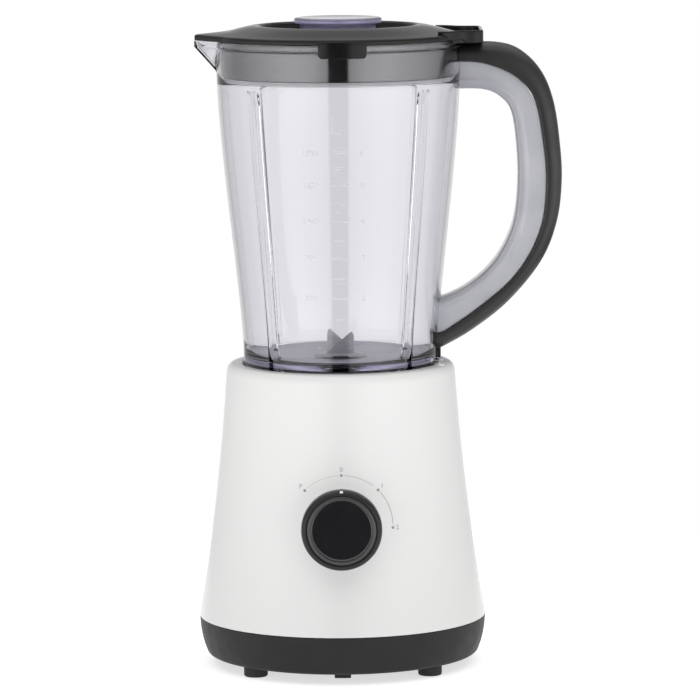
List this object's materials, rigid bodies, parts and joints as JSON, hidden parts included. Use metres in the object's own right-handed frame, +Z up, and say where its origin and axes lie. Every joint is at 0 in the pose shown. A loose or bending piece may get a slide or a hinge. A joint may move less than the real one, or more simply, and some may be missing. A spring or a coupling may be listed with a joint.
{
  "type": "countertop blender",
  "caption": "Countertop blender: round motor base with a front knob, lift-off clear jug with blade unit and side handle, dark lid with spout beak and clear filler cap.",
  "frame": {"origin": "on the table, under the central axis of the base and jug", "axes": "+Z up along the motor axis, -Y towards the control knob, +X towards the jug's handle, -X towards the spout"},
  "size_m": [0.2161, 0.1761, 0.383],
  "materials": {
    "white_shell": "white, glossy moulded plastic",
    "dark_base": "dark grey, fine satin moulded plastic",
    "black_rubber": "black rubber",
    "pale_silicone": "pale translucent silicone",
    "steel": "plain bright steel",
    "blade_steel": "stamped stainless steel",
    "cast_bracket": "die cast, as cast",
    "bronze": "sintered bronze",
    "laminations": "stacked steel sheet",
    "copper_wire": "enamelled copper",
    "carbon": "carbon, matt",
    "switch_plastic": "cream moulded plastic",
    "black_plastic": "black moulded plastic",
    "knob_grey": "dark grey satin plastic",
    "knob_gloss": "black, high gloss",
    "clear_plastic": "clear plastic with a faint violet tint",
    "clear_violet": "clear plastic with a violet tint",
    "grip_grey": "dark grey soft-touch plastic",
    "lid_black": "black, semi-gloss moulded plastic"
  },
  "bodies": {
    "base": {"motor_housing": "white_shell", "base_cover": "dark_base", "rubber_feet": "black_rubber", "base_screws": "steel", "shaft_seal": "black_rubber", "cord_gland": "black_rubber", "motor_top_bracket": "cast_bracket", "motor_bottom_bracket": "cast_bracket", "upper_bearing": "bronze", "lower_bearing": "bronze", "stator_core": "laminations", "field_coils": "copper_wire", "stator_bolts": "steel", "motor_grommets": "black_rubber", "motor_screws": "steel", "brush_holders": "bronze", "carbon_brushes": "carbon", "brush_springs": "steel", "brush_caps": "switch_plastic", "rotary_switch": "switch_plastic", "switch_screws": "steel", "interlock_bracket": "dark_base", "interlock_switch": "black_plastic", "interlock_spring": "steel"},
    "rotor": {"motor_shaft": "steel", "armature_core": "laminations", "armature_windings": "copper_wire", "commutator": "copper_wire", "cooling_fan": "black_plastic", "drive_coupling": "black_plastic"},
    "knob": {"control_knob": "knob_grey", "knob_face": "knob_gloss", "knob_pointer": "white_shell", "switch_spindle": "steel"},
    "interlock": {"interlock_pin": "white_shell"},
    "jug": {"jug_vessel": "clear_plastic", "handle_core": "clear_plastic", "handle_grip": "grip_grey", "bearing_housing": "black_plastic", "bearing_nut": "steel", "floor_seal": "black_rubber", "blade_bush": "bronze"},
    "blades": {"blade_shaft": "steel", "blade_hub": "black_plastic", "lower_blade": "blade_steel", "upper_blade": "blade_steel", "blade_nut": "blade_steel", "driven_coupling": "black_plastic"},
    "lid": {"lid": "lid_black", "lid_gasket": "pale_silicone"},
    "cap": {"filler_cap": "clear_violet"}
  },
  "joints": [
    {"name": "motor_spin", "type": "hinge", "parent": "base", "child": "rotor", "pos_m": [0, 0, 0.1], "axis": [0, 0, 1], "continuous": true},
    {"name": "knob_turn", "type": "hinge", "parent": "base", "child": "knob", "pos_m": [0, -0.086, 0.0922], "axis": [0, 1, 0], "range_deg": [-45, 90]},
    {"name": "interlock_press", "type": "slide", "parent": "base", "child": "interlock", "axis": [0, 0, 1], "range_m": [-0.0025, 0], "stiffness_N_per_m": 200, "springref_m": 0.002, "deforming": ["interlock_spring"]},
    {"name": "jug_lift", "type": "slide", "parent": "base", "child": "jug", "axis": [0, 0, 1], "range_m": [0, 0.09]},
    {"name": "blade_spin", "type": "hinge", "parent": "jug", "child": "blades", "pos_m": [0, 0, 0.17], "axis": [0, 0, 1], "continuous": true},
    {"name": "lid_lift", "type": "slide", "parent": "jug", "child": "lid", "axis": [0, 0, 1], "range_m": [0, 0.11]},
    {"name": "cap_lift", "type": "slide", "parent": "lid", "child": "cap", "axis": [0, 0, 1], "range_m": [0, 0.07]}
  ],
  "couplings": [
    {"joint": "blade_spin", "follows": "motor_spin", "ratio": 1}
  ]
}
